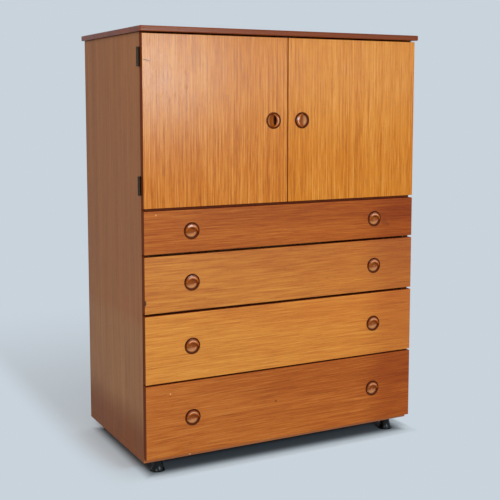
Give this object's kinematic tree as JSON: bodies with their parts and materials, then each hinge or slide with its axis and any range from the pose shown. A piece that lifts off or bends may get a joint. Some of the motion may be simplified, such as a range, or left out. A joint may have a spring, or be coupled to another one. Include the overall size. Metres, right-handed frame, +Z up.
{
  "type": "chifforobe",
  "caption": "Chifforobe with a two-door cupboard over a bank of full-width drawers, round inset finger pulls and flared feet.",
  "frame": {"origin": "on the floor, under the middle of the whole piece", "axes": "+Z up, +X to the right of someone facing the doors, +Y to the back"},
  "size_m": [0.8386, 0.461, 1.145],
  "materials": {
    "side_veneer": "satin, vertical grain, slightly greyed brown",
    "top_veneer": "satin reddish-brown, eased edge",
    "door_veneer": "satin golden brown, vertical striped grain",
    "red_veneer": "satin reddish-brown, horizontal grain",
    "gold_veneer": "satin golden-brown, horizontal grain",
    "pull_wood": "polished dark reddish-brown hardwood",
    "inner_wood": "plain pale inner wood, matt",
    "drawer_bottom_ply": "thin plywood, matt",
    "back_board": "pressed hardboard, matt",
    "hinge_metal": "dark bronzed steel",
    "strike_steel": "plain steel",
    "black_plastic": "glossy black moulding"
  },
  "bodies": {
    "cabinet": {"cabinet_side_left": "side_veneer", "cabinet_side_right": "side_veneer", "cabinet_top": "top_veneer", "cabinet_base": "side_veneer", "cabinet_back": "back_board", "cabinet_divider": "inner_wood", "cupboard_shelf": "inner_wood", "foot_front_left": "black_plastic", "foot_front_right": "black_plastic", "foot_back_left": "black_plastic", "foot_back_right": "black_plastic", "door_catch": "black_plastic", "hinge_upper_left_frame_leaf": "hinge_metal", "hinge_upper_right_frame_leaf": "hinge_metal", "hinge_lower_left_frame_leaf": "hinge_metal", "hinge_lower_right_frame_leaf": "hinge_metal", "runner_1_left": "inner_wood", "runner_1_right": "inner_wood", "runner_2_left": "inner_wood", "runner_2_right": "inner_wood", "runner_3_left": "inner_wood", "runner_3_right": "inner_wood"},
    "door_left_leaf": {"door_left": "door_veneer", "door_pull_left": "pull_wood", "strike_plate_left": "strike_steel", "hinge_upper_left_door_leaf": "hinge_metal", "hinge_lower_left_door_leaf": "hinge_metal"},
    "door_right_leaf": {"door_right": "door_veneer", "door_pull_right": "pull_wood", "strike_plate_right": "strike_steel", "hinge_upper_right_door_leaf": "hinge_metal", "hinge_lower_right_door_leaf": "hinge_metal"},
    "drawer_1": {"drawer_1_front": "red_veneer", "drawer_1_pull_left": "pull_wood", "drawer_1_side_left": "inner_wood", "drawer_1_pull_right": "pull_wood", "drawer_1_side_right": "inner_wood", "drawer_1_back": "inner_wood", "drawer_1_bottom": "drawer_bottom_ply"},
    "drawer_2": {"drawer_2_front": "gold_veneer", "drawer_2_pull_left": "pull_wood", "drawer_2_side_left": "inner_wood", "drawer_2_pull_right": "pull_wood", "drawer_2_side_right": "inner_wood", "drawer_2_back": "inner_wood", "drawer_2_bottom": "drawer_bottom_ply"},
    "drawer_3": {"drawer_3_front": "gold_veneer", "drawer_3_pull_left": "pull_wood", "drawer_3_side_left": "inner_wood", "drawer_3_pull_right": "pull_wood", "drawer_3_side_right": "inner_wood", "drawer_3_back": "inner_wood", "drawer_3_bottom": "drawer_bottom_ply"},
    "drawer_4": {"drawer_4_front": "red_veneer", "drawer_4_pull_left": "pull_wood", "drawer_4_side_left": "inner_wood", "drawer_4_pull_right": "pull_wood", "drawer_4_side_right": "inner_wood", "drawer_4_back": "inner_wood", "drawer_4_bottom": "drawer_bottom_ply"}
  },
  "joints": [
    {"name": "door_left_hinge", "type": "hinge", "parent": "cabinet", "child": "door_left_leaf", "pos_m": [-0.4153, -0.2061, 0.9105], "axis": [0, 0, -1], "range_deg": [0, 180]},
    {"name": "door_right_hinge", "type": "hinge", "parent": "cabinet", "child": "door_right_leaf", "pos_m": [0.4153, -0.2061, 0.9105], "axis": [0, 0, 1], "range_deg": [0, 180]},
    {"name": "drawer_1_slide", "type": "slide", "parent": "cabinet", "child": "drawer_1", "axis": [0, -1, 0], "range_m": [0, 0.3]},
    {"name": "drawer_2_slide", "type": "slide", "parent": "cabinet", "child": "drawer_2", "axis": [0, -1, 0], "range_m": [0, 0.3]},
    {"name": "drawer_3_slide", "type": "slide", "parent": "cabinet", "child": "drawer_3", "axis": [0, -1, 0], "range_m": [0, 0.3]},
    {"name": "drawer_4_slide", "type": "slide", "parent": "cabinet", "child": "drawer_4", "axis": [0, -1, 0], "range_m": [0, 0.3]}
  ]
}
